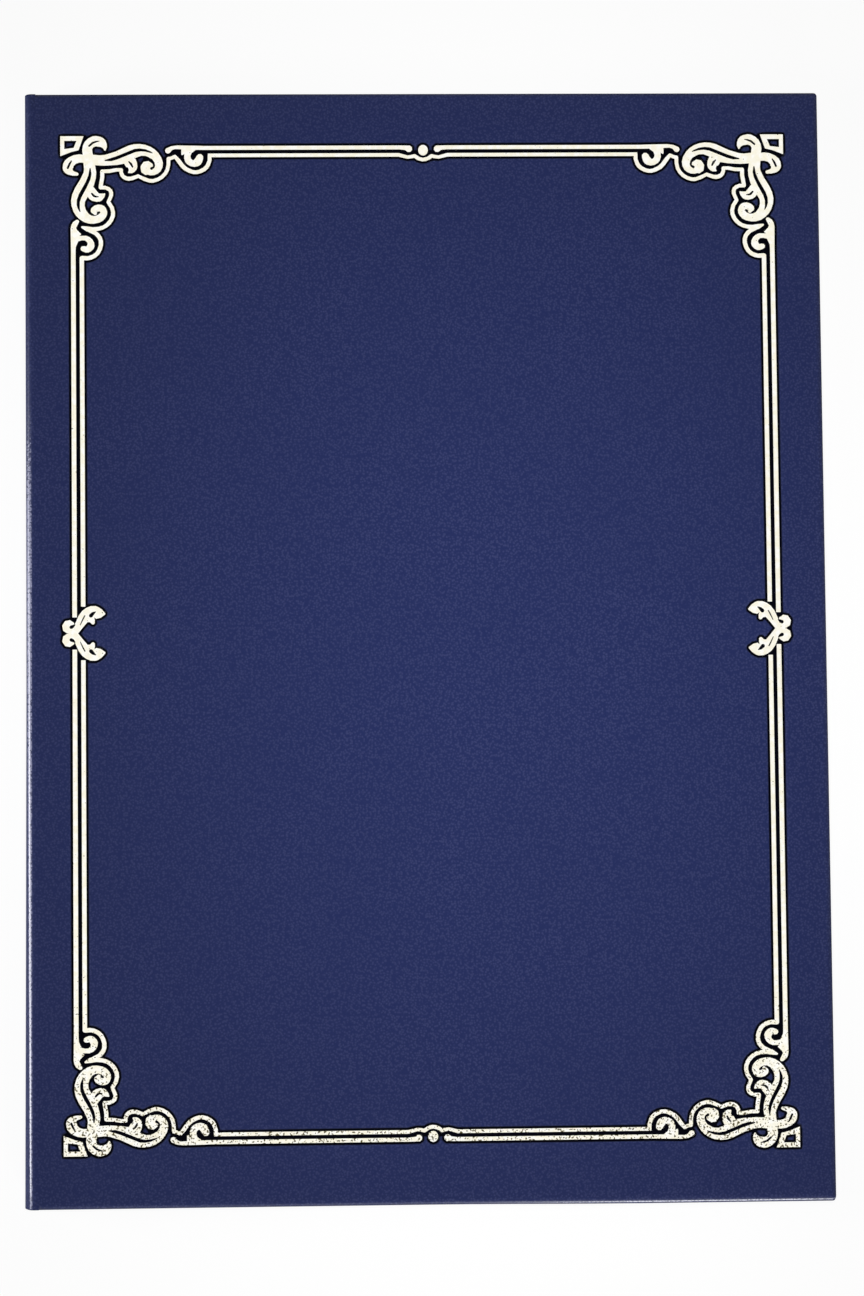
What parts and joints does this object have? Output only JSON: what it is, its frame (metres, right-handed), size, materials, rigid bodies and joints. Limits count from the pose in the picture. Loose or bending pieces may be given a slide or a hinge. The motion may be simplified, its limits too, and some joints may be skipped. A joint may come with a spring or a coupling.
{
  "type": "certificate holder",
  "caption": "Hard-cover folder that opens like a book, with a stamped gold border on its front and diagonal corner ribbons inside that hold an A4 certificate.",
  "frame": {"origin": "bottom centre of the shut holder's box, on the outer face of the back cover", "axes": "+X from the spine to the fore edge, +Y towards the head, +Z out of the front cover"},
  "size_m": [0.2214, 0.308, 0.0095],
  "materials": {
    "leatherette": "satin",
    "greyboard": "matte",
    "card": "matte",
    "lining": "satin",
    "ribbon": "satin",
    "foil": "satin"
  },
  "bodies": {
    "back_cover": {"back_board": "greyboard", "back_leatherette": "leatherette", "back_hinge_cloth": "leatherette", "back_panel_card": "card", "back_lining": "lining", "ribbon_head_spine": "ribbon", "ribbon_head_fore": "ribbon", "ribbon_tail_spine": "ribbon", "ribbon_tail_fore": "ribbon"},
    "spine": {"spine_leatherette": "leatherette", "spine_strip": "greyboard", "spine_hinge_cloth": "leatherette"},
    "front_cover": {"front_board": "greyboard", "front_leatherette": "leatherette", "front_hinge_cloth": "leatherette", "front_panel_card": "card", "front_lining": "lining", "corner_square_head_spine": "foil", "corner_square_head_fore": "foil", "corner_square_tail_spine": "foil", "corner_square_tail_fore": "foil", "corner_scroll_head_spine": "foil", "corner_scroll_head_fore": "foil", "corner_scroll_tail_spine": "foil", "corner_scroll_tail_fore": "foil", "head_rail_spine": "foil", "head_rail_fore": "foil", "tail_rail_spine": "foil", "tail_rail_fore": "foil", "spine_rail_head": "foil", "spine_rail_tail": "foil", "fore_rail_head": "foil", "fore_rail_tail": "foil", "inner_line_head": "foil", "inner_line_tail": "foil", "middle_dot_head": "foil", "middle_dot_tail": "foil", "side_scroll_spine": "foil", "side_scroll_fore": "foil"}
  },
  "joints": [
    {"name": "spine_hinge", "type": "hinge", "parent": "back_cover", "child": "spine", "pos_m": [-0.11032, 0, 0.00043], "axis": [0, -1, 0], "range_deg": [0, 90]},
    {"name": "front_hinge", "type": "hinge", "parent": "spine", "child": "front_cover", "pos_m": [-0.11032, 0, 0.00902], "axis": [0, -1, 0], "range_deg": [0, 90]}
  ]
}
